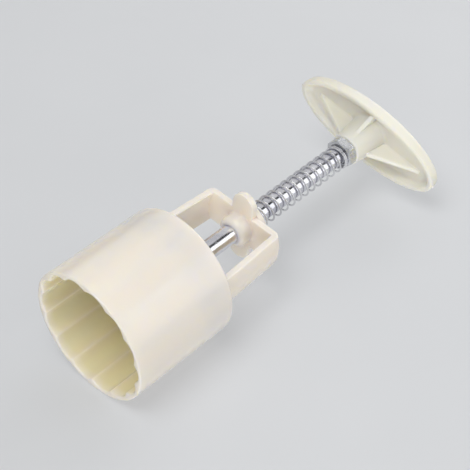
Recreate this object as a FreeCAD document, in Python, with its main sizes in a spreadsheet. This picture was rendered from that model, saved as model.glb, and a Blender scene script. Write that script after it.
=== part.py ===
import FreeCAD, Part
import math
import os
import Sketcher

# A hand plunger press for moulding filled cakes, standing on its mouth: the fluted barrel with
# its bridge at the bottom, the oval palm handle on top, the steel rod on the Z axis.
# The origin is the middle of the barrel's mouth, +Z runs up the rod, X runs across the bridge.
# All lengths are in millimetres, all angles in degrees.

SIZES = {
    # barrel: a sleeve with a fluted bore, closed by a deck
    "barrel_radius": 27.5,
    "barrel_wall": 1.6,
    "barrel_deck_top": 48.0,
    "deck_thickness": 3.0,
    "deck_edge_round": 1.3,
    "mouth_edge_round": 0.35,
    "flute_count": 14,
    "flute_turn": 9.2,
    "flute_depth": 1.8,
    # bridge: a strip cut from a round cup, so its arms curve with the barrel, moulded on the deck
    "bridge_foot_radius": 21.5,
    "bridge_top_radius": 19.7,
    "bridge_top": 83.6,
    "bridge_width": 15.5,
    "arm_thickness": 2.65,
    "crossbar_thickness": 2.7,
    "bridge_outer_round": 2.8,
    "bridge_inner_round": 0.7,
    "bridge_edge_round": 0.45,
    "bridge_foot_round": 0.8,
    "ear_reach": 17.0,
    "ear_half_width": 5.2,
    "seat_boss_radius": 10.1,
    "seat_boss_height": 2.6,
    "seat_boss_round": 0.7,
    "guide_boss_radius": 6.7,
    "guide_boss_length": 5.8,
    "guide_boss_round": 2.4,
    "guide_root_round": 0.9,
    # rod, its fits and its fasteners
    "rod_radius": 4.0,
    "rod_top_chamfer": 0.8,
    "rod_grip_in_hub": 13.2,
    "rod_running_clearance": 0.06,
    "deck_hole_clearance": 0.4,
    "thread_clearance": 0.05,
    "spigot_radius": 3.0,
    "spigot_chamfer": 0.4,
    "spigot_past_nut": 0.4,
    "lock_nut_flats": 12.0,
    "lock_nut_height": 4.4,
    "lock_nut_turn": 10.6,
    "piston_nut_flats": 10.0,
    "piston_nut_height": 3.2,
    "washer_radius": 6.0,
    "washer_thickness": 1.2,
    # return spring, on the seat boss and under the lock nut
    "spring_length": 55.4,
    "spring_wire": 0.9,
    "spring_rod_clearance": 0.6,
    "spring_pitch": 4.15,
    # piston and stamp
    "piston_rest_gap": 0.2,
    "piston_thickness": 8.0,
    "piston_web": 3.0,
    "flute_clearance": 0.4,
    "nut_pocket_clearance": 0.6,
    "collar_radius": 10.0,
    "collar_wall": 1.4,
    "collar_height": 3.0,
    "collar_clearance": 0.1,
    "collar_end_gap": 0.2,
    "stamp_thickness": 3.5,
    "relief_depth": 1.0,
    "petal_count": 8,
    "petal_middle": 9.4,
    "petal_half_length": 5.0,
    "petal_half_width": 2.3,
    "flower_eye_radius": 2.6,
    "border_radius": 18.6,
    "border_width": 1.4,
    # handle: a domed oval cap with a turned-down rim, a flared hub, four ribs and two gate stubs
    "handle_turn": 6.8,
    "handle_drop": 7.0,
    "handle_height": 20.3,
    "handle_reach": 37.1,
    "handle_half_width": 14.6,
    "palm_crown": 1.2,
    "palm_round": 2.6,
    "plate_thickness": 4.2,
    "rim_wall": 2.4,
    "hub_end_radius": 6.9,
    "hub_root_radius": 8.8,
    "hub_end_round": 0.7,
    "rib_thickness": 2.0,
    "rib_set_back": 5.1,
    "long_rib_reach": 28.4,
    "short_rib_depth": 1.6,
    "rib_bite": 0.6,
    "gate_stub_radius": 0.5,
    "gate_stub_length": 0.5,
    "gate_stub_rise": 0.9,
}

# Places worked out from the sizes above.
PLACES = {
    "mouth": "0",
    "deck_under": "barrel_deck_top - deck_thickness",
    "flute_valley_radius": "barrel_radius - barrel_wall",
    "flute_ridge_radius": "flute_valley_radius - flute_depth",
    "lobe_edge": "flute_ridge_radius * cos(180 deg / flute_count)",
    "lobe_half_chord": "flute_ridge_radius * sin(180 deg / flute_count)",
    "lobe_rise": "flute_valley_radius - lobe_edge",
    "lobe_radius": "(lobe_half_chord ^ 2 + lobe_rise ^ 2) / (2 * lobe_rise)",
    "lobe_middle": "flute_valley_radius - lobe_radius",
    "crossbar_under": "bridge_top - crossbar_thickness",
    "arm_lean": "(bridge_foot_radius - bridge_top_radius) / (bridge_top - barrel_deck_top)",
    "arm_inner_top": "bridge_top_radius + arm_lean * crossbar_thickness - arm_thickness",
    "arm_inner_foot": "bridge_foot_radius - arm_thickness",
    "spring_foot": "bridge_top + seat_boss_height",
    "guide_end": "crossbar_under - guide_boss_length",
    "nut_foot": "spring_foot + spring_length",
    "hub_end": "nut_foot + lock_nut_height",
    "rod_top": "hub_end + rod_grip_in_hub",
    "piston_top": "deck_under - piston_rest_gap",
    "web_under": "piston_top - piston_web",
    "washer_under": "web_under - washer_thickness",
    "piston_nut_under": "washer_under - piston_nut_height",
    "spigot_end": "piston_nut_under - spigot_past_nut",
    "piston_under": "piston_top - piston_thickness",
    "stamp_face": "piston_under - stamp_thickness",
    "nut_pocket_radius": "washer_radius + nut_pocket_clearance",
    "handle_top": "hub_end + handle_height",
    "handle_rim": "handle_top - handle_drop",
    "plate_under": "handle_top - plate_thickness",
    "rib_foot": "hub_end + rib_set_back",
    "hub_lean": "(hub_root_radius - hub_end_radius) / (plate_under - hub_end)",
    "rib_start": "hub_end_radius + hub_lean * rib_set_back - rib_bite",
    "crown_reach": "handle_reach + 1",
    "crown_radius": "(crown_reach ^ 2 + palm_crown ^ 2) / (2 * palm_crown)",
}

ALL_ROUND = 360.0
HEX_CORNERS = 6
NUT_FACE_SHARE = 0.95  # the flat ring on a nut's face, as a share of its width across flats
NUT_CHAMFER_SLOPE = 0.577  # a 30 degree chamfer on the nut's corners

document = FreeCAD.newDocument("press")
sheet = document.addObject("Spreadsheet::Sheet", "sizes")


def fill_sheet():
    """Puts each driving size in a cell of its own, then each worked-out place."""
    for row, (name, size) in enumerate(SIZES.items(), start=1):
        sheet.set(f"A{row}", name)
        sheet.set(f"B{row}", str(size))
        sheet.setAlias(f"B{row}", name)
    for row, (name, formula) in enumerate(PLACES.items(), start=len(SIZES) + 1):
        sheet.set(f"A{row}", name)
        sheet.set(f"B{row}", "=" + formula)
        sheet.setAlias(f"B{row}", name)
    document.recompute()


def size(name):
    """The number in a named cell, for places where an edge or a face is looked up."""
    return float(getattr(sheet, name))


def in_cells(formula):
    """Writes a formula of bare names as a formula on the sheet's cells."""
    words = []
    word = ""
    for letter in formula + " ":
        if letter.isalnum() or letter == "_":
            word += letter
            continue
        known = word in SIZES or word in PLACES
        words.append("sizes." + word if known else word)
        words.append(letter)
        word = ""
    return "".join(words).strip()


def bind(thing, prop, formula):
    """Ties a property or constraint to a formula on the sheet's cells."""
    thing.setExpression(prop, in_cells(formula))


def number(thing, formula):
    """What a formula on the sheet's cells gives now."""
    found = thing.evalExpression(in_cells(formula))
    return float(getattr(found, "Value", found))


def new_body(name):
    """An empty sub-part with its own label."""
    body = document.addObject("PartDesign::Body", name)
    body.Label = name
    return body


def new_sketch(body, name, role="XY_Plane", height="0"):
    """A sketch on one of the body's own planes, moved along the plane's normal."""
    sketch = body.newObject("Sketcher::SketchObject", name)
    plane = next(part for part in body.Origin.OriginFeatures if part.Role == role)
    sketch.AttachmentSupport = [(plane, "")]
    sketch.MapMode = "FlatFace"
    bind(sketch, "AttachmentOffset.Base.z", height)
    return sketch


def hold_point(sketch, shape, point, across, along):
    """Fixes a point of a sketch at two formulas, measured from the origin."""
    for kind, axis, formula in (("DistanceX", -2, across), ("DistanceY", -1, along)):
        value = number(sketch, formula)
        if abs(value) < 1e-9:
            sketch.addConstraint(Sketcher.Constraint("PointOnObject", shape, point, axis))
        elif value > 0:
            held = sketch.addConstraint(Sketcher.Constraint(kind, -1, 1, shape, point, value))
            bind(sketch, f"Constraints[{held}]", formula)
        else:
            held = sketch.addConstraint(Sketcher.Constraint(kind, shape, point, -1, 1, -value))
            bind(sketch, f"Constraints[{held}]", f"-({formula})")


def draw_circle(sketch, radius, across="0", along="0"):
    """A circle by the formulas of its radius and middle."""
    middle = FreeCAD.Vector(number(sketch, across), number(sketch, along), 0)
    ring = Part.Circle(middle, FreeCAD.Vector(0, 0, 1), number(sketch, radius))
    shape = sketch.addGeometry(ring, False)
    hold_point(sketch, shape, 3, across, along)
    held = sketch.addConstraint(Sketcher.Constraint("Radius", shape, number(sketch, radius)))
    bind(sketch, f"Constraints[{held}]", radius)


def draw_outline(sketch, corners):
    """A closed outline of straight runs through corners given by formulas."""
    places = [FreeCAD.Vector(number(sketch, a), number(sketch, b), 0) for a, b in corners]
    runs = []
    for here, there in zip(places, places[1:] + places[:1]):
        runs.append(sketch.addGeometry(Part.LineSegment(here, there), False))
    for run, following in zip(runs, runs[1:] + runs[:1]):
        sketch.addConstraint(Sketcher.Constraint("Coincident", run, 2, following, 1))
    for run, (across, along) in zip(runs, corners):
        hold_point(sketch, run, 1, across, along)


def draw_slot(sketch, radius, near, far):
    """A slot along the sketch's upright axis: two half rounds whose middles are at near and far."""
    r = number(sketch, radius)
    low, high = number(sketch, near), number(sketch, far)
    normal = FreeCAD.Vector(0, 0, 1)
    top = Part.ArcOfCircle(Part.Circle(FreeCAD.Vector(0, high, 0), normal, r), 0, math.pi)
    bottom = Part.ArcOfCircle(Part.Circle(FreeCAD.Vector(0, low, 0), normal, r), math.pi, 2 * math.pi)
    left = Part.LineSegment(FreeCAD.Vector(-r, high, 0), FreeCAD.Vector(-r, low, 0))
    right = Part.LineSegment(FreeCAD.Vector(r, low, 0), FreeCAD.Vector(r, high, 0))
    top, left, bottom, right = [sketch.addGeometry(part, False) for part in (top, left, bottom, right)]
    joins = ((top, 2, left, 1), (left, 2, bottom, 1), (bottom, 2, right, 1), (right, 2, top, 1))
    for join in joins:
        sketch.addConstraint(Sketcher.Constraint("Tangent", *join))
    hold_point(sketch, top, 3, "0", far)
    hold_point(sketch, bottom, 3, "0", near)
    held = sketch.addConstraint(Sketcher.Constraint("Radius", top, r))
    bind(sketch, f"Constraints[{held}]", radius)


def draw_oval(sketch, half_length, half_width):
    """An ellipse round the origin, its long axis across."""
    a, b = number(sketch, half_length), number(sketch, half_width)
    oval = Part.Ellipse(FreeCAD.Vector(a, 0, 0), FreeCAD.Vector(0, b, 0), FreeCAD.Vector(0, 0, 0))
    shape = sketch.addGeometry(oval, False)
    sketch.exposeInternalGeometry(shape)
    long_axis, short_axis = shape + 1, shape + 2
    sketch.addConstraint(Sketcher.Constraint("Coincident", shape, 3, -1, 1))
    sketch.addConstraint(Sketcher.Constraint("Horizontal", long_axis))
    for axis, value, formula in ((long_axis, a, half_length), (short_axis, b, half_width)):
        held = sketch.addConstraint(Sketcher.Constraint("Distance", axis, 2 * value))
        bind(sketch, f"Constraints[{held}]", f"2 * ({formula})")


def draw_crown(sketch):
    """The outline above the palm's long arc: the arc from end to end, closed over its top."""
    reach, top = number(sketch, "crown_reach"), number(sketch, "handle_top")
    fall, radius = number(sketch, "palm_crown"), number(sketch, "crown_radius")
    half = math.asin(reach / radius)
    circle = Part.Circle(FreeCAD.Vector(0, top - radius, 0), FreeCAD.Vector(0, 0, 1), radius)
    arc = sketch.addGeometry(Part.ArcOfCircle(circle, math.pi / 2 - half, math.pi / 2 + half), False)
    right_low, left_low = FreeCAD.Vector(reach, top - fall, 0), FreeCAD.Vector(-reach, top - fall, 0)
    right_high, left_high = FreeCAD.Vector(reach, top + 1, 0), FreeCAD.Vector(-reach, top + 1, 0)
    left = sketch.addGeometry(Part.LineSegment(left_low, left_high), False)
    over = sketch.addGeometry(Part.LineSegment(left_high, right_high), False)
    right = sketch.addGeometry(Part.LineSegment(right_high, right_low), False)
    for join in ((arc, 2, left, 1), (left, 2, over, 1), (over, 2, right, 1), (right, 2, arc, 1)):
        sketch.addConstraint(Sketcher.Constraint("Coincident", *join))
    hold_point(sketch, left, 1, "-crown_reach", "handle_top - palm_crown")
    hold_point(sketch, over, 1, "-crown_reach", "handle_top + 1")
    hold_point(sketch, right, 1, "crown_reach", "handle_top + 1")
    hold_point(sketch, right, 2, "crown_reach", "handle_top - palm_crown")
    held = sketch.addConstraint(Sketcher.Constraint("Radius", arc, radius))
    bind(sketch, f"Constraints[{held}]", "crown_radius")


def pad(body, name, sketch, length, both_ways=False, down=False):
    """Grows a sketch into the body."""
    made = body.newObject("PartDesign::Pad", name)
    made.Profile = sketch
    made.SideType = "Symmetric" if both_ways else "One side"
    made.Reversed = down
    bind(made, "Length", length)
    return made


def pocket(body, name, sketch, length, both_ways=False):
    """Cuts a sketch out of the body, upwards."""
    made = body.newObject("PartDesign::Pocket", name)
    made.Profile = sketch
    made.SideType = "Symmetric" if both_ways else "One side"
    made.Reversed = True
    bind(made, "Length", length)
    return made


def ring_pattern(body, name, feature, count):
    """Repeats a feature evenly round the Z axis."""
    made = body.newObject("PartDesign::PolarPattern", name)
    made.Originals = [feature]
    made.Axis = (next(part for part in body.Origin.OriginFeatures if part.Role == "Z_Axis"), [""])
    made.Angle = ALL_ROUND
    bind(made, "Occurrences", count)
    body.Tip = made
    return made


def turn(body, name, kind, sketch):
    """Turns a sketch all the way round its upright axis."""
    made = body.newObject(f"PartDesign::{kind}", name)
    made.Profile = sketch
    made.ReferenceAxis = (sketch, ["V_Axis"])
    made.Angle = ALL_ROUND
    return made


def round_edges(body, name, wanted, radius):
    """Fillets each edge of the body that the test picks, by a named radius."""
    document.recompute()
    before = body.Tip
    names = [f"Edge{n}" for n, edge in enumerate(before.Shape.Edges, start=1) if wanted(edge)]
    if not names:
        raise ValueError(f"{name}: no edge found")
    made = body.newObject("PartDesign::Fillet", name)
    made.Base = (before, names)
    bind(made, "Radius", radius)
    return made


def is_circle_at(edge, height, radius):
    """True for a round edge of this radius about the Z axis at this height."""
    box = edge.BoundBox
    level = abs(box.ZMin - height) < 1e-4 and abs(box.ZMax - height) < 1e-4
    round_one = isinstance(edge.Curve, Part.Circle) and abs(edge.Curve.Radius - radius) < 1e-4
    return level and round_one


def round_circles(body, name, height, radii, radius):
    """Fillets the round edges about the Z axis at a named height, by the names of their radii."""
    level = size(height)
    wanted = [size(each) for each in radii]
    return round_edges(body, name, lambda edge: any(is_circle_at(edge, level, r) for r in wanted), radius)


def is_strip_edge(edge):
    """True for an edge along the front or back of the bridge's strip, and not for one on the deck."""
    box = edge.BoundBox
    on_side = box.YLength < 1e-6 and abs(abs(box.YMin) - size("bridge_width") / 2) < 1e-4
    return on_side and box.ZMax > size("barrel_deck_top") + 1e-4


def is_palm_edge(edge):
    """True for an edge of the palm's crowned face."""
    return edge.BoundBox.ZMin > size("handle_top") - size("palm_crown") - 1e-3


def lobed_core(body, name, cut, height, length, inset):
    """A round core with a ring of lobes: cut out of the body, or grown into it inset all round."""
    grow = pocket if cut else pad
    core = new_sketch(body, f"{name}_core_outline", height=height)
    draw_circle(core, f"lobe_edge - {inset}")
    grow(body, f"{name}_core", core, length)
    lobe = new_sketch(body, f"{name}_lobe_outline", height=height)
    middle_turn = "(flute_turn + 180 / flute_count) * 1 deg"
    across, along = f"lobe_middle * cos({middle_turn})", f"lobe_middle * sin({middle_turn})"
    draw_circle(lobe, f"lobe_radius - {inset}", across, along)
    feature = grow(body, f"{name}_lobe", lobe, length)
    return ring_pattern(body, f"{name}_lobes", feature, "flute_count")


def make_bridge(body):
    """The bridge's strip: a cup turned round the Z axis, rounded, then cut to the strip's width."""
    cup = new_sketch(body, "cup_profile", "XZ_Plane")
    draw_outline(cup, [
        ("0", "crossbar_under"),
        ("arm_inner_top", "crossbar_under"),
        ("arm_inner_foot", "barrel_deck_top"),
        ("bridge_foot_radius", "barrel_deck_top"),
        ("bridge_top_radius", "bridge_top"),
        ("0", "bridge_top"),
    ])
    turn(body, "cup", "Revolution", cup)
    round_circles(body, "cup_outer_edge", "bridge_top", ["bridge_top_radius"], "bridge_outer_round")
    round_circles(body, "cup_inner_edge", "crossbar_under", ["arm_inner_top"], "bridge_inner_round")
    past = "bridge_foot_radius + 1"
    for side, sign in (("front", "-"), ("back", "")):
        near = f"{sign}bridge_width / 2"
        far = f"{sign}({past})"
        cut = new_sketch(body, f"{side}_cut_outline", height="barrel_deck_top")
        draw_outline(cut, [(f"-({past})", near), (past, near), (past, far), (f"-({past})", far)])
        pocket(body, f"{side}_cut", cut, "bridge_top - barrel_deck_top")
    round_edges(body, "strip_edges", is_strip_edge, "bridge_edge_round")


def make_barrel():
    """The fluted sleeve, its deck, and the bridge with its ears, seat boss and guide boss."""
    body = new_body("barrel")
    make_bridge(body)
    sleeve = new_sketch(body, "sleeve_outline")
    draw_circle(sleeve, "barrel_radius")
    pad(body, "sleeve", sleeve, "barrel_deck_top")
    lobed_core(body, "bore", True, "mouth", "deck_under", "0")
    round_circles(body, "deck_edge", "barrel_deck_top", ["barrel_radius"], "deck_edge_round")
    round_circles(body, "mouth_edge", "mouth", ["barrel_radius"], "mouth_edge_round")
    foot_radii = ["bridge_foot_radius", "arm_inner_foot"]
    round_circles(body, "arm_feet", "barrel_deck_top", foot_radii, "bridge_foot_round")

    ears = new_sketch(body, "ears_outline", height="crossbar_under")
    draw_slot(ears, "ear_half_width", "ear_half_width - ear_reach", "ear_reach - ear_half_width")
    pad(body, "ears", ears, "crossbar_thickness")
    seat = new_sketch(body, "seat_boss_outline", height="bridge_top")
    draw_circle(seat, "seat_boss_radius")
    pad(body, "seat_boss", seat, "seat_boss_height")
    round_circles(body, "seat_boss_edge", "spring_foot", ["seat_boss_radius"], "seat_boss_round")
    guide = new_sketch(body, "guide_boss_outline", height="crossbar_under")
    draw_circle(guide, "guide_boss_radius")
    pad(body, "guide_boss", guide, "guide_boss_length", down=True)
    round_circles(body, "guide_boss_end", "guide_end", ["guide_boss_radius"], "guide_boss_round")
    round_circles(body, "guide_boss_root", "crossbar_under", ["guide_boss_radius"], "guide_root_round")

    guide_bore = new_sketch(body, "guide_bore_outline", height="guide_end")
    draw_circle(guide_bore, "rod_radius + rod_running_clearance")
    pocket(body, "guide_bore", guide_bore, "spring_foot - guide_end")
    deck_hole = new_sketch(body, "deck_hole_outline", height="deck_under")
    draw_circle(deck_hole, "rod_radius + deck_hole_clearance")
    pocket(body, "deck_hole", deck_hole, "deck_thickness")
    return body


def make_rod():
    """The bright rod: a shoulder and thin spigot below, a chamfered end in the handle above."""
    body = new_body("plunger_rod")
    profile = new_sketch(body, "rod_profile", "XZ_Plane")
    draw_outline(profile, [
        ("0", "spigot_end"),
        ("spigot_radius - spigot_chamfer", "spigot_end"),
        ("spigot_radius", "spigot_end + spigot_chamfer"),
        ("spigot_radius", "piston_top"),
        ("rod_radius", "piston_top"),
        ("rod_radius", "rod_top - rod_top_chamfer"),
        ("rod_radius - rod_top_chamfer", "rod_top"),
        ("0", "rod_top"),
    ])
    turn(body, "rod", "Revolution", profile)
    return body


def make_spring():
    """A round wire wound at an even pitch, standing on the seat boss under the lock nut."""
    body = new_body("return_spring")
    wire = new_sketch(body, "wire_section", "XZ_Plane")
    middle = "rod_radius + spring_rod_clearance + spring_wire / 2"
    draw_circle(wire, "spring_wire / 2", middle, "spring_foot + spring_wire / 2")
    coil = body.newObject("PartDesign::AdditiveHelix", "coil")
    coil.Profile = wire
    coil.ReferenceAxis = (wire, ["V_Axis"])
    coil.Mode = "pitch-height-angle"
    bind(coil, "Pitch", "spring_pitch")
    bind(coil, "Height", "spring_length - spring_wire")
    return body


def make_nut(name, flats, height, foot, bore, turned):
    """A hexagon nut with chamfered corners on both faces."""
    body = new_body(name)
    corner = f"{flats} / sqrt(3)"
    hexagon = new_sketch(body, f"{name}_outline", height=foot)
    angles = [ALL_ROUND * n / HEX_CORNERS for n in range(HEX_CORNERS)]
    draw_outline(hexagon, [(f"{corner} * cos({a} deg)", f"{corner} * sin({a} deg)") for a in angles])
    pad(body, f"{name}_block", hexagon, height)
    face_ring = f"{flats} / 2 * {NUT_FACE_SHARE}"
    past = f"{flats}"
    fall = f"({past} - {face_ring}) * {NUT_CHAMFER_SLOPE}"
    for side, level, sign in (("low", foot, "+"), ("high", f"{foot} + {height}", "-")):
        chamfer = new_sketch(body, f"{name}_{side}_chamfer_profile", "XZ_Plane")
        draw_outline(chamfer, [(face_ring, level), (past, level), (past, f"{level} {sign} {fall}")])
        turn(body, f"{name}_{side}_chamfer", "Groove", chamfer)
    hole = new_sketch(body, f"{name}_bore_outline", height=foot)
    draw_circle(hole, bore)
    pocket(body, f"{name}_bore", hole, height)
    body.Placement = FreeCAD.Placement(FreeCAD.Vector(), FreeCAD.Rotation(FreeCAD.Vector(0, 0, 1), 1.0))
    bind(body, "Placement.Rotation.Angle", f"{turned} * 1 deg")
    return body


def make_washer():
    """The flat washer between the piston's web and its nut."""
    body = new_body("piston_washer")
    ring = new_sketch(body, "washer_outline", height="washer_under")
    draw_circle(ring, "washer_radius")
    draw_circle(ring, "spigot_radius + thread_clearance")
    pad(body, "washer", ring, "washer_thickness")
    return body


def make_piston():
    """The lobed pusher disc: a web on the rod's shoulder, a nut pocket and a ring groove below."""
    body = new_body("piston_plate")
    lobed_core(body, "piston", False, "piston_under", "piston_thickness", "flute_clearance")
    nut_pocket = new_sketch(body, "nut_pocket_outline", height="piston_under")
    draw_circle(nut_pocket, "nut_pocket_radius")
    pocket(body, "nut_pocket", nut_pocket, "piston_thickness - piston_web")
    spigot_hole = new_sketch(body, "spigot_hole_outline", height="web_under")
    draw_circle(spigot_hole, "spigot_radius + thread_clearance")
    pocket(body, "spigot_hole", spigot_hole, "piston_web")
    groove = new_sketch(body, "collar_groove_outline", height="piston_under")
    draw_circle(groove, "collar_radius + collar_clearance")
    draw_circle(groove, "collar_radius - collar_wall - collar_clearance")
    pocket(body, "collar_groove", groove, "collar_height + collar_end_gap")
    return body


def make_stamp():
    """The lobed stamp: a collar that plugs into the piston, a plain flower cut in its face."""
    body = new_body("stamp_disc")
    lobed_core(body, "stamp", False, "stamp_face", "stamp_thickness", "flute_clearance")
    collar = new_sketch(body, "collar_outline", height="piston_under")
    draw_circle(collar, "collar_radius")
    draw_circle(collar, "collar_radius - collar_wall")
    pad(body, "collar", collar, "collar_height")
    border = new_sketch(body, "border_outline", height="stamp_face")
    draw_circle(border, "border_radius")
    draw_circle(border, "border_radius - border_width")
    pocket(body, "border", border, "relief_depth")
    eye = new_sketch(body, "flower_eye_outline", height="stamp_face")
    draw_circle(eye, "flower_eye_radius")
    pocket(body, "flower_eye", eye, "relief_depth")
    petal = new_sketch(body, "petal_outline", height="stamp_face")
    straight = "(petal_half_length - petal_half_width)"
    draw_slot(petal, "petal_half_width", f"petal_middle - {straight}", f"petal_middle + {straight}")
    feature = pocket(body, "petal", petal, "relief_depth")
    ring_pattern(body, "petals", feature, "petal_count")
    return body


def make_handle():
    """The oval cap, hollow below, with a flared hub and two long and two short ribs."""
    body = new_body("handle")
    cap = new_sketch(body, "cap_outline", height="handle_rim")
    draw_oval(cap, "handle_reach", "handle_half_width")
    pad(body, "cap", cap, "handle_drop")
    crown = new_sketch(body, "crown_outline", "XZ_Plane")
    draw_crown(crown)
    pocket(body, "crown", crown, "2 * (handle_half_width + 1)", both_ways=True)
    round_edges(body, "palm_edge", is_palm_edge, "palm_round")
    hollow = new_sketch(body, "hollow_outline", height="handle_rim")
    draw_oval(hollow, "handle_reach - rim_wall", "handle_half_width - rim_wall")
    pocket(body, "hollow", hollow, "handle_drop - plate_thickness")

    hub = new_sketch(body, "hub_profile", "XZ_Plane")
    draw_outline(hub, [
        ("0", "hub_end"),
        ("hub_end_radius", "hub_end"),
        ("hub_root_radius", "plate_under"),
        ("hub_root_radius", "plate_under + rib_bite"),
        ("0", "plate_under + rib_bite"),
    ])
    turn(body, "hub", "Revolution", hub)
    round_circles(body, "hub_end_edge", "hub_end", ["hub_end_radius"], "hub_end_round")
    long_ribs = new_sketch(body, "long_ribs_outline", "XZ_Plane")
    draw_outline(long_ribs, [
        ("-rib_start", "rib_foot"),
        ("rib_start", "rib_foot"),
        ("long_rib_reach", "plate_under"),
        ("long_rib_reach", "plate_under + rib_bite"),
        ("-long_rib_reach", "plate_under + rib_bite"),
        ("-long_rib_reach", "plate_under"),
    ])
    pad(body, "long_ribs", long_ribs, "rib_thickness", both_ways=True)
    short_ribs = new_sketch(body, "short_ribs_outline", "YZ_Plane")
    wall_reach = "handle_half_width - rim_wall + rib_bite"
    draw_outline(short_ribs, [
        ("-rib_start", "rib_foot"),
        ("rib_start", "rib_foot"),
        (wall_reach, "plate_under - short_rib_depth"),
        (wall_reach, "plate_under + rib_bite"),
        (f"-({wall_reach})", "plate_under + rib_bite"),
        (f"-({wall_reach})", "plate_under - short_rib_depth"),
    ])
    pad(body, "short_ribs", short_ribs, "rib_thickness", both_ways=True)
    stub = new_sketch(body, "gate_stub_outline", "YZ_Plane", height="handle_reach - rim_wall / 2")
    draw_circle(stub, "gate_stub_radius", "0", "handle_rim + gate_stub_rise")
    feature = pad(body, "gate_stub", stub, "rim_wall / 2 + gate_stub_length")
    ring_pattern(body, "gate_stubs", feature, "2")
    bore = new_sketch(body, "hub_bore_outline", height="hub_end")
    draw_circle(bore, "rod_radius + thread_clearance")
    pocket(body, "hub_bore", bore, "rod_grip_in_hub + thread_clearance")
    body.Placement = FreeCAD.Placement(FreeCAD.Vector(), FreeCAD.Rotation(FreeCAD.Vector(0, 0, 1), 1.0))
    bind(body, "Placement.Rotation.Angle", "handle_turn * 1 deg")
    return body


def check_document():
    """Stops with a plain message if any object of the document failed."""
    for thing in document.Objects:
        if any(word in thing.State for word in ("Invalid", "Error")):
            raise RuntimeError(f"{thing.Name} failed: {thing.State} {thing.getStatusString()}")


def write_parts(bodies):
    """Writes each sub-part to its own STEP file, once all of them are sound."""
    for body in bodies:
        if body.Shape.isNull() or not body.Shape.isValid():
            raise RuntimeError(f"{body.Label} has no sound shape")
    os.makedirs("parts", exist_ok=True)
    for body in bodies:
        body.Shape.exportStep(f"parts/{body.Label}.step")
        box = body.Shape.BoundBox
        print(f"{body.Label}: {len(body.Shape.Solids)} solid, {body.Shape.Volume:.1f} mm3, "
              f"z {box.ZMin:.2f} to {box.ZMax:.2f}")


fill_sheet()
parts = [
    make_barrel(),
    make_rod(),
    make_spring(),
    make_nut("lock_nut", "lock_nut_flats", "lock_nut_height", "nut_foot",
             "rod_radius + thread_clearance", "lock_nut_turn"),
    make_handle(),
    make_piston(),
    make_washer(),
    make_nut("piston_nut", "piston_nut_flats", "piston_nut_height", "piston_nut_under",
             "spigot_radius + thread_clearance", "flute_turn"),
    make_stamp(),
]
document.recompute()
check_document()
write_parts(parts)
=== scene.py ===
import math

import bmesh
import bpy
import numpy as np
from mathutils import Matrix, Vector


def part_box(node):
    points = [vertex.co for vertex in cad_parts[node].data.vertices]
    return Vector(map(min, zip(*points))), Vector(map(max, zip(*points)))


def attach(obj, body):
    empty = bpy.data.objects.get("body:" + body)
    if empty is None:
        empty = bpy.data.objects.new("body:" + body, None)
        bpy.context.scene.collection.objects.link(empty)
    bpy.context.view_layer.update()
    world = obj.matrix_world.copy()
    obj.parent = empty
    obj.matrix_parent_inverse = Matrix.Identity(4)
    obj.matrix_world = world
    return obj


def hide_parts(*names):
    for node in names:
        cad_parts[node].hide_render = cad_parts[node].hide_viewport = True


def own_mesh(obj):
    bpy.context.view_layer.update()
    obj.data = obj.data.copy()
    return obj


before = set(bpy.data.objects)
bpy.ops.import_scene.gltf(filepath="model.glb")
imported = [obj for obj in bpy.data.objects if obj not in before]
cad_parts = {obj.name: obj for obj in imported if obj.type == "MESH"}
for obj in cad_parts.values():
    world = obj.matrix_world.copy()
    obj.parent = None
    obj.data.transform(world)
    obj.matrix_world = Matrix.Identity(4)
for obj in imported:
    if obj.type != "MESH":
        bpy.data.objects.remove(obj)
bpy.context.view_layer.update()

# The dressed cake press: ivory plastic barrel and handle, bright rod, open spring, plated nuts.
# Lengths are metres. Angles are radians unless a name ends in _deg.

MM = 0.001
BARREL_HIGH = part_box("barrel")[1]
HANDLE_LOW, HANDLE_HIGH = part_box("handle")
NUT_LOW, NUT_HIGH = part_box("lock_nut")
ROD_LOW, ROD_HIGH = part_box("plunger_rod")

SPRING_FOOT = BARREL_HIGH.z
SPRING_HEAD = NUT_LOW.z
HUB_END = HANDLE_LOW.z
HANDLE_TOP = HANDLE_HIGH.z

# the view
VIEW_AZIMUTH_DEG = 29.83
VIEW_ELEVATION_DEG = -32.05
VIEW_ROLL_DEG = 53.77
VIEW_AIM = Vector((1.266, 0.768, 76.648)) * MM
VIEW_DISTANCE = 492.5 * MM
PRESS_MIDDLE = Vector((0, 0, 90)) * MM
PICTURE_SIDE = 470
FOCAL_PIXELS = 1250
SENSOR = 36.0

# barrel: its fluted bore, its deck and the foot of the bridge
BARREL_RADIUS = min(BARREL_HIGH.x, BARREL_HIGH.y)
DECK_TOP = 48.0 * MM
DECK_UNDER = 45.0 * MM
DECK_ROUND = 1.3 * MM
DECK_INNER_ROUND = 0.5 * MM
DECK_HOLE = 4.4 * MM
DECK_HOLE_BEVEL = 0.2 * MM
UNDERSIDE_RINGS = np.linspace(21, 6, 6) * MM
DECK_RINGS = np.linspace(6, 26, 6) * MM
WALL_RINGS = 14
MOUTH_ROUND_OUT = 0.6 * MM
MOUTH_ROUND_IN = 0.9 * MM
FLUTES = 14
FLUTE_TURN_DEG = 9.2
FLUTE_STEPS = 28
LOBE_RADIUS = 7.184 * MM
LOBE_MIDDLE = 18.716 * MM
RIDGE_SOFTNESS = 0.07
BRIDGE_CUT = 48.03 * MM
BRIDGE_SUNK = 47.4 * MM
BRIDGE_EDGE = 0.5 * MM
BRIDGE_SHARP_DEG = 50
BRIDGE_FLAT_DEG = 0.3
FOOT_KEPT_SHARP = 2 * MM

# rod
SPIGOT_RADIUS = 3.0 * MM
ROD_STEPS = 96

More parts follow.
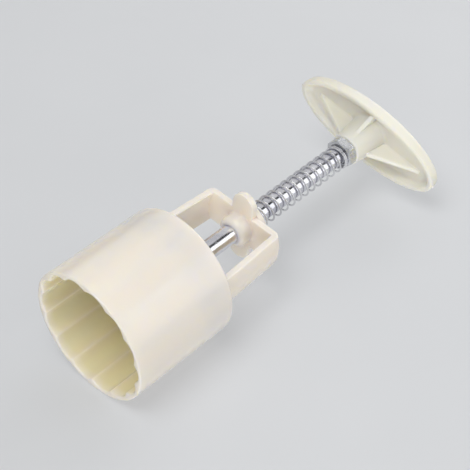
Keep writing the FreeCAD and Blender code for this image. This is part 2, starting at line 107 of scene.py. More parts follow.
# return spring
WIRE = 0.82 * MM
WIRE_SIDES = 14
COIL_RADIUS = 5.05 * MM
CLOSED_TURNS = 1.8
OPEN_TURNS = 12.4
CLOSED_PITCH = 1.02 * WIRE
EASING_TURNS = 0.5
STEPS_A_TURN = 48
COIL_START_DEG = 183.0
COIL_SHIFT = np.array((0.32, 0.42, 0.0)) * MM

# lock nut
NUT_FLATS = 12.0 * MM
NUT_TURN_DEG = 10.6
NUT_BORE = 4.1 * MM
NUT_BORE_BEVEL = 0.5 * MM
NUT_CHAMFER_DEG = 30
NUT_FACE_SHARE = 0.95
NUT_CORNER_SHARPNESS = 70.0
NUT_CHAMFER_SHARPNESS = 50.0
NUT_STEPS = 240

# handle
HANDLE_TURN_DEG = 6.8
CAP_REACH = 37.1 * MM
CAP_HALF_WIDTH = 14.6 * MM
CAP_DROP = 7.0 * MM
CAP_LEAN = 0.3 * MM
CAP_MIDDLE_HALF = 2.2 * MM
CAP_STEPS = 256
PALM_CROWN = 1.2 * MM
PALM_ROUND = 2.6 * MM
PLATE_DEPTH = 4.2 * MM
RIM_WALL_LOW = 2.2 * MM
RIM_WALL_HIGH = 4.2 * MM
RIM_ROUND = 0.9 * MM
HUB_END_RADIUS = 6.9 * MM
HUB_ROOT_RADIUS = 8.8 * MM
HUB_STEPS = 160
RIB_HALF = 1.0 * MM
RIB_INNER_END = 5.0 * MM
RIB_START = 7.5 * MM
RIB_SET_BACK = 5.1 * MM
RIB_SUNK = 0.25 * MM
RIB_EDGE_ROUND = 0.55 * MM
RIB_FLARE = 0.8 * MM
LONG_RIB_REACH = 28.4 * MM
LONG_RIB_END = 0.15 * MM
SHORT_RIB_REACH = 12.4 * MM
SHORT_RIB_RISE = 1.6 * MM
STUB_RADIUS = 0.5 * MM
STUB_REACH = 0.5 * MM
STUB_RISE = 0.9 * MM

# plastics: cells per metre of the noise, and depths in metres
CLOUD_SCALE = 45
GLOSS_SCALE = 130
GLOSS_SPREAD = 0.012
PEEL_SCALE = 900
PEEL_SHARE = 0.06
PLASTIC_BUMP = 0.3
PLASTIC_BUMP_DEPTH = 0.18 * MM
FLUTE_SINK_SHARE = 0.35
# painted shade in the bore, with the yellow of light through its thin wall: how sharp its painted pale
# lines of light along the flutes are, and where it fades out at the bore's edge, under the deck and
# towards the mouth
PAINTED_LINE_SHARPNESS = 14.0
BORE_SHADE_EDGE = (26.2 * MM, 26.8 * MM)
DECK_SHADE_EDGE = (46.0 * MM, 47.0 * MM)
MOUTH_SHADE_FADE = (0, 4.0 * MM)
GLOW_DEPTH = 4.0 * MM
GLOW_REACH = (1.0, 0.90, 0.55)

# metals
TARNISH_SCALE = 90
SCRATCH_DEPTH = 0.08 * MM
GRAIN_GLOSS = 0.16

# stage
SHEET_HALF = 3.0
SHEET_SCALE = 14
SHEET_GLOW = 0.33
TABLE_FACING = Vector((-0.15, -0.989, 0)).normalized()
TABLE_GAP = 0.6 * MM
FLOOR_GAP = 0.1 * MM
WORLD_LEVEL = 0.32
WORLD_TOP = 0.03
WORLD_FADE = (0.08, 0.36)


# ---------------------------------------------------------------- shapes

def rounded(corners, steps=7, guard=0.12 * MM):
    """Points of a run of straight lines through corners (across, up, radius). Each corner is an arc
    that touches both lines, with a guard point just outside each end of it so that flats stay flat."""
    places = [np.array(corner[:2], float) for corner in corners]
    points = [places[0]]
    for here, corner, there in zip(places, corners[1:-1], places[2:]):
        middle, radius = np.array(corner[:2], float), corner[2]
        come, leave = middle - here, there - middle
        come_length, leave_length = np.hypot(*come), np.hypot(*leave)
        come, leave = come / come_length, leave / leave_length
        turn = math.atan2(come[0] * leave[1] - come[1] * leave[0], come @ leave)
        if radius <= 0 or abs(turn) < 1e-6:
            points.append(middle)
            continue
        reach = radius * math.tan(abs(turn) / 2)
        side = np.array((-come[1], come[0])) * math.copysign(1, turn)
        centre = middle - come * reach + side * radius
        angles = np.linspace(0, turn, steps + 1)
        spoke = -side * radius
        arc = np.stack([spoke[0] * np.cos(angles) - spoke[1] * np.sin(angles),
                        spoke[0] * np.sin(angles) + spoke[1] * np.cos(angles)], 1) + centre
        before = arc[0] - come * min(guard, 0.4 * max(come_length - reach, 0))
        after = arc[-1] + leave * min(guard, 0.4 * max(leave_length - reach, 0))
        points += [before, *arc, after]
    points.append(places[-1])
    return np.array(points)


def skin(name, rows, ring=False, crease_deg=35.0):
    """A closed mesh over a grid of points, rows x columns x 3, whose last column joins the first. With
    ring the last row joins the first too. Without it, flat faces close the first and the last row."""
    rows = np.asarray(rows, float)
    count, wide = rows.shape[:2]
    index = np.arange(count * wide).reshape(count, wide)
    index = np.concatenate([index, index[:, :1]], 1)
    if ring:
        index = np.concatenate([index, index[:1]], 0)
    quads = np.stack([index[:-1, :-1], index[:-1, 1:], index[1:, 1:], index[1:, :-1]], -1).reshape(-1, 4)
    faces = quads.tolist()
    if not ring:
        faces.append(np.arange(wide)[::-1].tolist())
        faces.append(((count - 1) * wide + np.arange(wide)).tolist())
    mesh = bpy.data.meshes.new(name)
    mesh.from_pydata(rows.reshape(-1, 3).tolist(), [], faces)
    piece = bpy.data.objects.new(name, mesh)
    bpy.context.scene.collection.objects.link(piece)
    settle(piece, crease_deg)
    return piece


def shade(piece, crease_deg):
    """Shades a piece smooth up to a crease angle."""
    piece.data.shade_smooth()
    piece.data.set_sharp_from_angle(angle=math.radians(crease_deg))


def settle(piece, crease_deg=35.0):
    """Merges doubled points, turns all faces outwards and shades smooth up to a crease angle."""
    work = bmesh.new()
    work.from_mesh(piece.data)
    bmesh.ops.remove_doubles(work, verts=work.verts, dist=1e-7)
    bmesh.ops.recalc_face_normals(work, faces=work.faces)
    work.to_mesh(piece.data)
    work.free()
    shade(piece, crease_deg)


def fused(name, first, others):
    """One closed skin out of several that overlap: the union of them all."""
    for other in others:
        union = first.modifiers.new(other.name, "BOOLEAN")
        union.operation, union.solver, union.object = "UNION", "EXACT", other
    graph = bpy.context.evaluated_depsgraph_get()
    whole = bpy.data.objects.new(name, bpy.data.meshes.new_from_object(first.evaluated_get(graph)))
    for old in (first, *others):
        bpy.data.objects.remove(old)
    bpy.context.scene.collection.objects.link(whole)
    settle(whole)
    return whole


def turned(name, profile, steps):
    """A profile (radius, height) carried round the Z axis: x = r cos a, y = r sin a."""
    angles = np.linspace(0, 2 * math.pi, steps, endpoint=False)
    radius, height = profile[:, 0, None], profile[:, 1, None]
    rows = np.stack([radius * np.cos(angles), radius * np.sin(angles), height + 0 * angles], -1)
    return skin(name, rows)


def turn_about_axis(rows, degrees):
    """Turns points about the Z axis."""
    a = math.radians(degrees)
    spin = np.array(((math.cos(a), -math.sin(a), 0), (math.sin(a), math.cos(a), 0), (0, 0, 1)))
    return np.asarray(rows) @ spin.T


def merged_copy(node, name):
    """A copy of a CAD node's mesh with its loose triangles merged."""
    piece = bpy.data.objects.new(name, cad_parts[node].data.copy())
    bpy.context.scene.collection.objects.link(piece)
    piece.data.materials.clear()
    work = bmesh.new()
    work.from_mesh(piece.data)
    bmesh.ops.remove_doubles(work, verts=work.verts, dist=2e-6)
    work.to_mesh(piece.data)
    work.free()
    if "custom_normal" in piece.data.attributes:
        piece.data.attributes.remove(piece.data.attributes["custom_normal"])
    return piece


def dressed_copy(node, name):
    """A merged, smoothly shaded copy of a CAD node, which stands in for it; the node itself is hidden."""
    piece = merged_copy(node, name)
    shade(piece, 30)
    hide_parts(node)
    return piece


# ---------------------------------------------------------------- materials

def fill(tree, node, inputs):
    """Sets a node's inputs by name or number. Each is a plain value or another node's output."""
    for key, value in inputs.items():
        if isinstance(value, bpy.types.NodeSocket):
            tree.links.new(value, node.inputs[key])
        else:
            node.inputs[key].default_value = value


def add(tree, kind, inputs=None, **settings):
    """A new shader node with its settings and its inputs."""
    node = tree.nodes.new(kind)
    for key, value in settings.items():
        setattr(node, key, value)
    fill(tree, node, inputs or {})
    return node


def new_material(name):
    """A new node material, its tree and the Principled shader on its output."""
    material = bpy.data.materials.new(name)
    material.use_nodes = True
    tree = material.node_tree
    return material, tree, tree.nodes["Principled BSDF"]


def object_place(tree):
    """The shaded point in object coordinates."""
    return add(tree, "ShaderNodeTexCoord").outputs["Object"]


def noise_of(tree, scale, stretch=(1, 1, 1), detail=4.0, roughness=0.5):
    """Noise on object coordinates, stretched along the axes; scale is in cells per metre."""
    mapping = add(tree, "ShaderNodeMapping", {"Vector": object_place(tree), "Scale": stretch})
    noise = add(tree, "ShaderNodeTexNoise", {"Vector": mapping.outputs["Vector"], "Scale": scale,
                                             "Detail": detail, "Roughness": roughness})
    return noise.outputs["Fac"]


def span(tree, value, low, high, start, stop):
    """Maps a value from start..stop to low..high and holds it there."""
    node = add(tree, "ShaderNodeMapRange", {"Value": value, "From Min": start, "From Max": stop,
                                            "To Min": low, "To Max": high})
    return node.outputs["Result"]


def math_of(tree, operation, *values):
    """What a Math node makes of its values."""
    return add(tree, "ShaderNodeMath", dict(enumerate(values)), operation=operation).outputs[0]


def blend_colours(tree, share, first, second):
    """A mix of two colours by a share from 0 to 1. A colour is three numbers or a node's output."""
    first, second = (colour if isinstance(colour, bpy.types.NodeSocket) else (*colour, 1)
                     for colour in (first, second))
    node = add(tree, "ShaderNodeMix", {"Factor": share, "A": first, "B": second}, data_type="RGBA")
    return node.outputs["Result"]


def bump_of(tree, height, strength, depth):
    """A bump normal from a height value; depth is in metres."""
    node = add(tree, "ShaderNodeBump", {"Height": height, "Strength": strength, "Distance": depth})
    return node.outputs["Normal"]


def flute_bands(tree):
    """A value from 0 to 1 that follows the flutes round the Z axis: half of 1 + cos(flutes * angle),
    with the angle of (x, y) taken from the middle of a flute."""
    parts = add(tree, "ShaderNodeSeparateXYZ", {"Vector": object_place(tree)})
    angle = math_of(tree, "ARCTAN2", parts.outputs["Y"], parts.outputs["X"])
    phase = math_of(tree, "MULTIPLY_ADD", angle, FLUTES, -math.radians(FLUTE_TURN_DEG) * FLUTES)
    return span(tree, math_of(tree, "COSINE", phase), 0, 1, -1, 1)


def bore_shade_mask(tree):
    """Where the bore's painted shade goes: 1 on the bore's wall and the deck's underside, fading to 0 at
    the mouth, 0 on all outer faces.
    """
    place = object_place(tree)
    flat = add(tree, "ShaderNodeVectorMath", {0: place, 1: (1, 1, 0)}, operation="MULTIPLY")
    radius = add(tree, "ShaderNodeVectorMath", {0: flat.outputs["Vector"]}, operation="LENGTH")
    height = add(tree, "ShaderNodeSeparateXYZ", {"Vector": place}).outputs["Z"]
    inside = span(tree, radius.outputs["Value"], 1, 0, *BORE_SHADE_EDGE)
    below = span(tree, height, 1, 0, *DECK_SHADE_EDGE)
    deep = span(tree, height, 0, 1, *MOUTH_SHADE_FADE)
    return math_of(tree, "MULTIPLY", math_of(tree, "MULTIPLY", inside, below), deep)


def ivory_plastic(name, light, deep, gloss=0.32, painted_bore_shade=None):
    """Moulded ivory plastic: cloudy colour, orange-peel bump, light that spreads inside. With a bore
    colour given, the bore's wall and the deck's underside take it as painted shade, with the yellow of
    light through the thin wall, fading in from the mouth, but for painted pale lines of light along the
    flutes; and the wall sinks a little over each flute."""
    material, tree, shader = new_material(name)
    cloud = span(tree, noise_of(tree, CLOUD_SCALE, (1, 1, 0.5), detail=3), 0, 1, 0.15, 0.85)
    colour = blend_colours(tree, cloud, light, deep)
    height = span(tree, noise_of(tree, PEEL_SCALE, detail=2), 0, PEEL_SHARE, 0, 1)
    # Painted shade in the bore: a darker, yellower colour standing in for the shade and the light through
    # the thin wall, laid less along painted pale lines of light at the flutes.
    if painted_bore_shade:
        bands = flute_bands(tree)
        painted_line_share = span(tree, math_of(tree, "POWER", bands, PAINTED_LINE_SHARPNESS), 1, 0.6, 0, 1)
        bore_shade_share = math_of(tree, "MULTIPLY", bore_shade_mask(tree), painted_line_share)
        colour = blend_colours(tree, bore_shade_share, colour, painted_bore_shade)
        height = math_of(tree, "MULTIPLY_ADD", bands, FLUTE_SINK_SHARE, height)
    streaks = noise_of(tree, GLOSS_SCALE, (1, 1, 0.4))
    fill(tree, shader, {
        "Base Color": colour,
        "Roughness": span(tree, streaks, gloss - GLOSS_SPREAD, gloss + GLOSS_SPREAD, 0, 1),
        "Normal": bump_of(tree, height, PLASTIC_BUMP, PLASTIC_BUMP_DEPTH),
        "Subsurface Weight": 0.9,
        "Subsurface Radius": GLOW_REACH,
        "Subsurface Scale": GLOW_DEPTH,
        "IOR": 1.52,
    })
    return material


def bright_metal(name, light, dark, gloss, stretch, scale, bump=0.12):
    """Bright plated or drawn steel: faint tarnish, and a stretched grain that streaks the roughness
    and scratches the surface; scale is in cells per metre."""
    material, tree, shader = new_material(name)
    tarnish = span(tree, noise_of(tree, TARNISH_SCALE, detail=5, roughness=0.6), 0, 1, 0.42, 0.7)
    grain = noise_of(tree, scale, stretch, detail=6, roughness=0.65)
    fill(tree, shader, {
        "Base Color": blend_colours(tree, tarnish, light, dark),
        "Roughness": span(tree, grain, gloss, gloss + GRAIN_GLOSS, 0.3, 0.75),
        "Normal": bump_of(tree, grain, bump, SCRATCH_DEPTH),
        "Metallic": 1.0,
    })
    return material


# The barrel's bore colour is painted shade, with the yellow of light through the thin wall.
BARREL_PLASTIC = ivory_plastic("ivory_barrel", (0.875, 0.805, 0.735), (0.855, 0.78, 0.705), gloss=0.21,
                               painted_bore_shade=(0.80, 0.735, 0.53))
HANDLE_PLASTIC = ivory_plastic("ivory_handle", (0.80, 0.785, 0.725), (0.78, 0.76, 0.68))
INNER_PLASTIC = ivory_plastic("ivory_inner", (0.82, 0.76, 0.65), (0.78, 0.71, 0.58), gloss=0.45)
ROD_STEEL = bright_metal("bright_rod", (0.80, 0.80, 0.84), (0.55, 0.55, 0.61), gloss=0.12,
                         stretch=(1, 1, 0.25), scale=700, bump=0.45)
SPRING_STEEL = bright_metal("spring_wire", (0.82, 0.82, 0.84), (0.60, 0.60, 0.62), gloss=0.08,
                            stretch=(1, 1, 1), scale=500)
NICKEL = bright_metal("nickel_plate", (0.64, 0.65, 0.67), (0.45, 0.45, 0.46), gloss=0.20,
                      stretch=(1, 1, 0.3), scale=320)


def finish_piece(piece, material, body):
    """Gives a piece its finish and lets it ride on a body."""
    piece.data.materials.clear()
    piece.data.materials.append(material)
    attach(piece, body)


# ---------------------------------------------------------------- pieces

def bore_radius(angle):
    """The fluted bore round the axis: each lobe is a circle of radius q whose middle is m off the
    axis, m cos t + sqrt(q^2 - (m sin t)^2), with t the angle from its middle, eased at the ridges."""
    half = math.pi / FLUTES
    off = (angle - math.radians(FLUTE_TURN_DEG)) % (2 * half) - half
    share = 1 - np.sqrt((1 - np.abs(off) / half) ** 2 + RIDGE_SOFTNESS ** 2)
    t = share * half
    return LOBE_MIDDLE * np.cos(t) + np.sqrt(LOBE_RADIUS ** 2 - (LOBE_MIDDLE * np.sin(t)) ** 2)


def quarter(steps=7):
    """Cosines and sines of a quarter turn of angles."""
    angles = np.linspace(0, math.pi / 2, steps)
    return np.stack([np.cos(angles), np.sin(angles)], 1)


def sleeve_rows():
    """The sleeve's closed skin: round the mouth's inner edge, up the bore, in along the deck's
    underside, through the rod's hole, out over the deck and down the outside. A row is (follow,
    radius, height) and its radius at an angle is follow * bore_radius(angle) + radius."""
    inner, outer, corner, bevel = MOUTH_ROUND_IN, MOUTH_ROUND_OUT, DECK_INNER_ROUND, DECK_HOLE_BEVEL
    rows = [(1, inner * (1 - c), inner * (1 - s)) for c, s in quarter()[::-1]]
    rows += [(1, 0, z) for z in np.linspace(inner, DECK_UNDER - corner, WALL_RINGS)[1:]]
    rows += [(1, -corner * (1 - c), DECK_UNDER - corner * (1 - s)) for c, s in quarter(5)[1:]]
    rows += [(0, r, DECK_UNDER) for r in UNDERSIDE_RINGS]
    rows += [(0, DECK_HOLE + bevel, DECK_UNDER), (0, DECK_HOLE, DECK_UNDER + bevel)]
    rows += [(0, DECK_HOLE, DECK_TOP - bevel), (0, DECK_HOLE + bevel, DECK_TOP)]
    rows += [(0, r, DECK_TOP) for r in DECK_RINGS]
    edge = BARREL_RADIUS - DECK_ROUND
    rows += [(0, edge + DECK_ROUND * c, DECK_TOP - DECK_ROUND * (1 - s)) for c, s in quarter(9)[::-1]]
    rows += [(0, BARREL_RADIUS, z) for z in np.linspace(DECK_TOP - DECK_ROUND, outer, WALL_RINGS)[1:-1]]
    edge = BARREL_RADIUS - outer
    rows += [(0, edge + outer * c, outer * (1 - s)) for c, s in quarter()]
    follow, radius, height = np.array(rows).T[:, :, None]
    angle = np.linspace(0, 2 * math.pi, FLUTES * FLUTE_STEPS, endpoint=False)
    reach = follow * bore_radius(angle) + radius
    return np.stack([reach * np.cos(angle), reach * np.sin(angle), height + 0 * angle], -1)


def bridge_skin():
    """The bridge as a closed skin: the CAD solid above the deck, its cut feet carried down into it,
    its sharp edges rounded."""
    piece = merged_copy("barrel", "bridge")
    work = bmesh.new()
    work.from_mesh(piece.data)
    everything = work.verts[:] + work.edges[:] + work.faces[:]
    bmesh.ops.bisect_plane(work, geom=everything, plane_co=(0, 0, BRIDGE_CUT), plane_no=(0, 0, 1),
                           clear_inner=True)
    feet = [edge for edge in work.edges if edge.is_boundary]
    grown = bmesh.ops.extrude_edge_only(work, edges=feet)["geom"]
    for vert in (part for part in grown if isinstance(part, bmesh.types.BMVert)):
        vert.co.z = BRIDGE_SUNK
    bmesh.ops.holes_fill(work, edges=[edge for edge in work.edges if edge.is_boundary])
    bmesh.ops.dissolve_limit(work, angle_limit=math.radians(BRIDGE_FLAT_DEG), verts=work.verts,
                             edges=work.edges)
    sharp = [edge for edge in work.edges if edge.calc_face_angle(0) > math.radians(BRIDGE_SHARP_DEG)
             and max(vert.co.z for vert in edge.verts) > DECK_TOP + FOOT_KEPT_SHARP]
    bmesh.ops.bevel(work, geom=sharp, offset=BRIDGE_EDGE, segments=4, profile=0.5, affect="EDGES",
                    clamp_overlap=True)
    bmesh.ops.triangulate(work, faces=work.faces)
    work.to_mesh(piece.data)
    work.free()
    settle(piece, 30)
    return piece


def make_barrel():
    """The barrel: its sleeve with a soft mouth and eased flutes, and the bridge on its deck."""
    piece = fused("barrel_and_bridge", skin("sleeve", sleeve_rows(), ring=True), [bridge_skin()])
    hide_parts("barrel")
    finish_piece(piece, BARREL_PLASTIC, "barrel")


def make_rod():
    """The rod: its CAD profile turned finely, radius against height."""
    radius, core = ROD_HIGH.x, 0.3 * MM
    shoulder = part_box("piston_plate")[1].z
    profile = rounded([
        (core, ROD_LOW.z, 0),
        (SPIGOT_RADIUS, ROD_LOW.z, 0.3 * MM),
        (SPIGOT_RADIUS, shoulder, 0),
        (radius, shoulder, 0.1 * MM),
        (radius, ROD_HIGH.z, 0.6 * MM),
        (core, ROD_HIGH.z, 0),
    ])
    piece = turned("bright_rod", profile, ROD_STEPS)
    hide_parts("plunger_rod")
    finish_piece(piece, ROD_STEEL, "plunger")


def spring_centreline():
    """The wire's middle: a helix whose pitch is one wire at its closed ends and even between,
    worked out as the running sum of the local pitch. The loose coil sits a little off the rod's axis."""
    turns = 2 * CLOSED_TURNS + OPEN_TURNS
    along = np.linspace(0, turns, int(turns * STEPS_A_TURN) + 1)
    into = np.clip((along - CLOSED_TURNS) / EASING_TURNS + 0.5, 0, 1)
    out = np.clip((turns - CLOSED_TURNS - along) / EASING_TURNS + 0.5, 0, 1)
    openness = (into * into * (3 - 2 * into)) * (out * out * (3 - 2 * out))
    rise = SPRING_HEAD - SPRING_FOOT - WIRE
    step = np.diff(along)
    spread = 0.5 * (openness[1:] + openness[:-1])
    open_pitch = (rise - CLOSED_PITCH * turns) / (spread @ step)
    climb = np.concatenate([[0], np.cumsum((CLOSED_PITCH + open_pitch * spread) * step)])
    angle = math.radians(COIL_START_DEG) + 2 * math.pi * along
    spokes = np.stack([np.cos(angle), np.sin(angle), 0 * angle], 1)
    middle = spokes * COIL_RADIUS + COIL_SHIFT
    middle[:, 2] = SPRING_FOOT + WIRE / 2 + climb
    return middle, spokes


def make_spring():
    """A round wire carried along the centreline: ring points = middle + r (cos b spoke + sin b side)."""
    middle, spokes = spring_centreline()
    tangent = np.gradient(middle, axis=0)
    tangent /= np.linalg.norm(tangent, axis=1)[:, None]
    side = np.cross(tangent, spokes)
    side /= np.linalg.norm(side, axis=1)[:, None]
    outward = np.cross(side, tangent)
    round_angles = np.linspace(0, 2 * math.pi, WIRE_SIDES, endpoint=False)[None, :, None]
    rows = middle[:, None] + WIRE / 2 * (np.cos(round_angles) * outward[:, None]
                                         + np.sin(round_angles) * side[:, None])
    piece = skin("coil_spring", rows, crease_deg=60)
    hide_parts("return_spring")
    finish_piece(piece, SPRING_STEEL, "barrel")
    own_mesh(piece)


def lock_nut_skin():
    """The lock nut: the smaller of the hexagon and a cone at each face, carried round its bore. The
    smaller of several distances is (sum of d^-p)^(-1/p), so a high p rounds their edges slightly."""
    height, face_ring = NUT_HIGH.z - NUT_LOW.z, NUT_FLATS / 2 * NUT_FACE_SHARE
    angle = np.linspace(0, 2 * math.pi, NUT_STEPS, endpoint=False)
    faces = math.radians(30) + np.arange(6) * math.radians(60)
    lean = np.maximum(np.cos(angle[:, None] - faces), 1e-3)
    hexagon = NUT_FLATS / 2 / np.sum(lean ** NUT_CORNER_SHARPNESS, 1) ** (1 / NUT_CORNER_SHARPNESS)
    share = np.linspace(0, 1, 12) ** 1.6
    lift = np.concatenate([share * 0.5, 1 - share[::-1][1:] * 0.5]) * height
    slope = math.tan(math.radians(NUT_CHAMFER_DEG))
    cone = np.minimum(lift, height - lift)[:, None] / slope + face_ring
    power = NUT_CHAMFER_SHARPNESS
    outer = (hexagon ** -power + cone ** -power) ** (-1 / power)
    inner = [(NUT_BORE, NUT_BORE_BEVEL), (NUT_BORE + NUT_BORE_BEVEL, 0), (face_ring * 0.9, 0)]
    rings = [(np.full_like(angle, r), NUT_LOW.z + z) for r, z in inner]
    rings += [(ring, NUT_LOW.z + z) for ring, z in zip(outer, lift)]
    rings += [(np.full_like(angle, r), NUT_HIGH.z - z) for r, z in reversed(inner)]
    rows = [np.stack([r * np.cos(angle), r * np.sin(angle), 0 * angle + z], 1) for r, z in rings]
    return skin("hex_lock_nut", turn_about_axis(rows, NUT_TURN_DEG), ring=True, crease_deg=50)


def make_nuts():
    """The lock nut under the handle, and the thin nut and washer under the piston."""
    piece = lock_nut_skin()
    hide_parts("lock_nut")
    finish_piece(piece, NICKEL, "plunger")
    for node in ("piston_nut", "piston_washer"):
        finish_piece(dressed_copy(node, f"plated_{node}"), NICKEL, "plunger")


def oval_rows(levels):
    """Rows of ellipse points, one for each (half length, half width, height)."""
    angle = np.linspace(0, 2 * math.pi, CAP_STEPS, endpoint=False)
    levels = np.asarray(levels)[:, :, None]
    x = levels[:, 0] * np.cos(angle)
    y = levels[:, 1] * np.sin(angle)
    return np.stack([x, y, levels[:, 2] + 0 * angle], -1)


def cap_rows():
    """The cap's closed skin in ellipses: out over the palm, down the rounded side, round the rim, up
    the inside and in along the plate. The palm's long arc lowers the outside by
    crown * (x / reach)^2 * (height above the rim / drop)."""
    rim, under = HANDLE_TOP - CAP_DROP, HANDLE_TOP - PLATE_DEPTH
    middle = CAP_HALF_WIDTH - CAP_MIDDLE_HALF
    outside = rounded([
        (middle, HANDLE_TOP, 0),
        (CAP_LEAN, HANDLE_TOP, PALM_ROUND),
        (0, rim, RIM_ROUND),
        (RIM_WALL_LOW / 2, rim, 0),
    ], steps=9)
    inside = rounded([
        (RIM_WALL_LOW / 2, rim, 0),
        (RIM_WALL_LOW, rim, RIM_ROUND),
        (RIM_WALL_HIGH, under, 2.4 * MM),
        (middle, under, 0),
    ], steps=9)[1:]
    shares = np.array((0.7, 0.35, 0.05))[:, None]
    reach_in, width_in = CAP_REACH - middle, CAP_HALF_WIDTH - middle
    crown = np.hstack([reach_in * shares[::-1], width_in * shares[::-1], HANDLE_TOP + 0 * shares])
    floor = np.hstack([reach_in * shares, width_in * shares, under + 0 * shares])
    skins = [np.stack([CAP_REACH - side[:, 0], CAP_HALF_WIDTH - side[:, 0], side[:, 1]], 1)
             for side in (outside, inside)]
    upper = oval_rows(np.vstack([crown, skins[0]]))
    lower = oval_rows(np.vstack([skins[1], floor]))
    share = (upper[:, :, 2] - rim) / CAP_DROP
    upper[:, :, 2] -= PALM_CROWN * (upper[:, :, 0] / CAP_REACH) ** 2 * share
    return np.vstack([upper, lower])


def hub_profile():
    """The hub from the blind end of its bore round to its middle: end ring with a small round, flared
    cone, wide root round, and a flange sunk in the plate."""
    plate = HANDLE_TOP - PLATE_DEPTH
    root, sunk = plate - 0.01 * MM, plate + 0.4 * MM
    core, bore_end, flange = 0.1 * MM, ROD_HIGH.z + 0.1 * MM, HUB_ROOT_RADIUS + 2.2 * MM
    return rounded([
        (core, bore_end, 0),
        (NUT_BORE, bore_end, 0),
        (NUT_BORE, HUB_END, 0.15 * MM),
        (HUB_END_RADIUS, HUB_END, 0.7 * MM),
        (HUB_ROOT_RADIUS, root, 1.6 * MM),
        (flange, root, 0),
        (flange, sunk, 0),
        (core, sunk, 0),
    ], steps=12)


def rib_rows(reach, end_depth, direction_deg):
    """A blade from the hub to its tip: at each distance its section hangs from the plate, with a
    rounded free edge and a small flare at the root; its depth falls evenly to end_depth."""
    under = HANDLE_TOP - PLATE_DEPTH
    foot = HUB_END + RIB_SET_BACK
    across = np.linspace(RIB_INNER_END, reach, 40)
    share = np.clip((across - RIB_START) / (reach - RIB_START), 0, 1)
    depth = (under - foot) * (1 - share) + end_depth * share
    round_edge = np.minimum(RIB_EDGE_ROUND, depth * 0.4)
    flare = np.minimum(RIB_FLARE, depth * 0.5)
    sweep = np.linspace(0, math.pi / 2, 6)
    half = []
    for angle in sweep:
        half.append((RIB_HALF + flare * (1 - math.sin(angle)), -flare * (1 - math.cos(angle))))
    for angle in sweep:
        out = RIB_HALF - round_edge * (1 - math.cos(angle))
        half.append((out, -depth + round_edge * (1 - math.sin(angle))))
    left = [(-out, down) for out, down in reversed(half)]
    sunk = 0 * depth + RIB_SUNK
    section = [(RIB_HALF + flare, sunk), *half, *left, (-RIB_HALF - flare, sunk)]
    rows = [np.stack([across, out + 0 * across, under + down], 1) for out, down in section]
    return turn_about_axis(np.array(rows).transpose(1, 0, 2), direction_deg)


def stub_rows(side):
    """A gate stub on the cap's tip: a round peg along X with a softly rounded end."""
    profile = rounded([
        (CAP_REACH - 1.2 * MM, STUB_RADIUS, 0),
        (CAP_REACH + STUB_REACH, STUB_RADIUS, 0.25 * MM),
        (CAP_REACH + STUB_REACH, 0.05 * MM, 0),
    ])
    angle = np.linspace(0, 2 * math.pi, 20, endpoint=False)
    across, radius = profile[:, 0, None], profile[:, 1, None]
    height = HANDLE_TOP - CAP_DROP + STUB_RISE + radius * np.sin(angle)
    return np.stack([side * across + 0 * angle, radius * np.cos(angle), height], -1)


def make_handle():
    """The handle: crowned cap with its rim, flared hub, two long and two short ribs, two gate stubs."""
    grown = [turned("hub", hub_profile(), HUB_STEPS)]
    for degrees in (0, 180):
        grown.append(skin("long_rib", rib_rows(LONG_RIB_REACH, LONG_RIB_END, degrees)))
        grown.append(skin("short_rib", rib_rows(SHORT_RIB_REACH, SHORT_RIB_RISE, degrees + 90)))
        grown.append(skin("gate_stub", stub_rows(math.cos(math.radians(degrees)))))
    piece = fused("palm_handle", skin("cap", cap_rows()), grown)
    piece.data.transform(Matrix.Rotation(math.radians(HANDLE_TURN_DEG), 4, "Z"))
    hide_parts("handle")
    finish_piece(piece, HANDLE_PLASTIC, "plunger")


def make_piston():
    """The piston plate and the stamp, from their CAD solids."""
    finish_piece(dressed_copy("piston_plate", "fluted_piston"), INNER_PLASTIC, "plunger")
    finish_piece(dressed_copy("stamp_disc", "flower_stamp"), INNER_PLASTIC, "plunger")


# ---------------------------------------------------------------- stage, light, camera

def place_camera():
    """The camera on its line of sight, rolled about it."""
    azimuth, elevation = math.radians(VIEW_AZIMUTH_DEG), math.radians(VIEW_ELEVATION_DEG)
    roll = math.radians(VIEW_ROLL_DEG)
    back = Vector((math.sin(azimuth) * math.cos(elevation),
                   -math.cos(azimuth) * math.cos(elevation),
                   math.sin(elevation)))
    level = Vector((math.cos(azimuth), math.sin(azimuth), 0))
    right = level * math.cos(roll) + back.cross(level) * math.sin(roll)
    up = back.cross(right)
    data = bpy.data.cameras.new("camera")
    data.lens = FOCAL_PIXELS / PICTURE_SIDE * SENSOR
    data.sensor_width = SENSOR
    data.clip_start, data.clip_end = 0.01, 20
    camera = bpy.data.objects.new("camera", data)
    turn = Matrix((right, up, back)).transposed().to_4x4()
    camera.matrix_world = Matrix.Translation(VIEW_AIM + back * VIEW_DISTANCE) @ turn
    bpy.context.scene.collection.objects.link(camera)
    bpy.context.scene.camera = camera


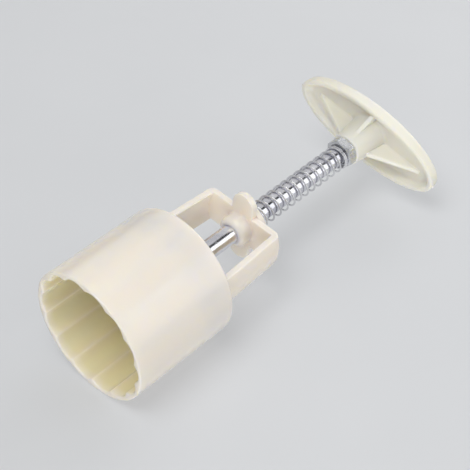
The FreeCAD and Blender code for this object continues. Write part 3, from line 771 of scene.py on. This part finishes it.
def sheet_material(name):
    """Pale, with a faint glow of its own, for rays from the camera and from bright surfaces that meet
    its front. It is clear for all other rays, so it takes the shadow and lets the light through."""
    material = bpy.data.materials.new(name)
    material.use_nodes = True
    tree = material.node_tree
    tree.nodes.clear()
    grain = noise_of(tree, SHEET_SCALE, detail=3)
    colour = blend_colours(tree, grain, (0.34, 0.345, 0.355), (0.37, 0.375, 0.385))
    pale = add(tree, "ShaderNodeBsdfDiffuse", {"Color": colour})
    glow = add(tree, "ShaderNodeEmission", {"Color": (0.96, 0.98, 1.0, 1), "Strength": SHEET_GLOW})
    sheet = add(tree, "ShaderNodeAddShader", {0: pale.outputs[0], 1: glow.outputs[0]})
    ray = add(tree, "ShaderNodeLightPath").outputs
    seen = ray["Is Camera Ray"]
    for kind in ("Is Glossy Ray", "Is Transmission Ray"):
        seen = math_of(tree, "MAXIMUM", seen, ray[kind])
    behind = add(tree, "ShaderNodeNewGeometry").outputs["Backfacing"]
    hidden = math_of(tree, "MAXIMUM", span(tree, seen, 1, 0, 0, 1), behind)
    clear = add(tree, "ShaderNodeBsdfTransparent")
    mix = add(tree, "ShaderNodeMixShader", {"Fac": hidden, 1: sheet.outputs[0], 2: clear.outputs[0]})
    add(tree, "ShaderNodeOutputMaterial", {"Surface": mix.outputs[0]})
    return material


def pale_sheet(name, centre, facing):
    """A large pale plane of the stage, which shows from its front alone."""
    mesh = bpy.data.meshes.new(name)
    half = SHEET_HALF
    corners = [(-half, -half, 0), (half, -half, 0), (half, half, 0), (-half, half, 0)]
    mesh.from_pydata(corners, [], [(0, 1, 2, 3)])
    mesh.materials.append(sheet_material(name))
    plane = bpy.data.objects.new(name, mesh)
    turn = Vector(facing).to_track_quat("Z", "Y").to_matrix().to_4x4()
    plane.matrix_world = Matrix.Translation(centre) @ turn
    bpy.context.scene.collection.objects.link(plane)


def around(azimuth_deg, elevation_deg, distance):
    """A place at a distance from the middle of the press, by its compass angle from +X and its height."""
    azimuth, elevation = math.radians(azimuth_deg), math.radians(elevation_deg)
    level = math.cos(elevation)
    away = Vector((level * math.cos(azimuth), level * math.sin(azimuth), math.sin(elevation)))
    return PRESS_MIDDLE + away * distance


def soft_light(name, place, wide, high, power):
    """A soft rectangular light at a place, turned to the middle of the press."""
    data = bpy.data.lights.new(name, "AREA")
    data.shape = "RECTANGLE"
    data.size, data.size_y = wide, high
    data.energy = power
    light = bpy.data.objects.new(name, data)
    facing = (place - PRESS_MIDDLE).to_track_quat("Z", "Y").to_matrix().to_4x4()
    light.matrix_world = Matrix.Translation(place) @ facing
    light.visible_camera = False
    bpy.context.scene.collection.objects.link(light)


def make_world():
    """An even white world, dim up to a little above the horizon and fading to almost nothing overhead."""
    world = bpy.data.worlds.new("studio")
    world.use_nodes = True
    tree = world.node_tree
    where = add(tree, "ShaderNodeTexCoord").outputs["Generated"]
    height = add(tree, "ShaderNodeSeparateXYZ", {"Vector": where}).outputs["Z"]
    strength = span(tree, height, WORLD_LEVEL, WORLD_TOP, *WORLD_FADE)
    fill(tree, tree.nodes["Background"], {"Color": (1, 1, 1, 1), "Strength": strength})
    bpy.context.scene.world = world


def make_stage():
    """The floor under the press, the table that it lies against in the main view, and the lights."""
    pale_sheet("table", -TABLE_FACING * (BARREL_HIGH.x + TABLE_GAP), TABLE_FACING)
    pale_sheet("floor", Vector((0, 0, -FLOOR_GAP)), (0, 0, 1))
    # name, place, width and height in metres, power in watts
    for light in (
            ("key", around(-93, -24, 0.9), 0.5, 0.5, 3.85),
            ("right_window", around(-31, 32, 0.6), 0.55, 0.42, 1.15),
            ("left_window", around(-130, 30, 0.6), 0.85, 0.42, 0.72),
            ("low_fill", around(-15, -30, 0.6), 0.42, 0.42, 0.95),
            ("overhead", Vector((-0.1, -0.35, 0.9)), 0.6, 0.6, 3.0),
            ("behind", around(58, -30, 0.85), 0.6, 0.6, 3.0)):
        soft_light(*light)
    make_world()


place_camera()
make_barrel()
make_rod()
make_spring()
make_nuts()
make_handle()
make_piston()
make_stage()
bpy.context.scene.view_settings.view_transform = "Standard"
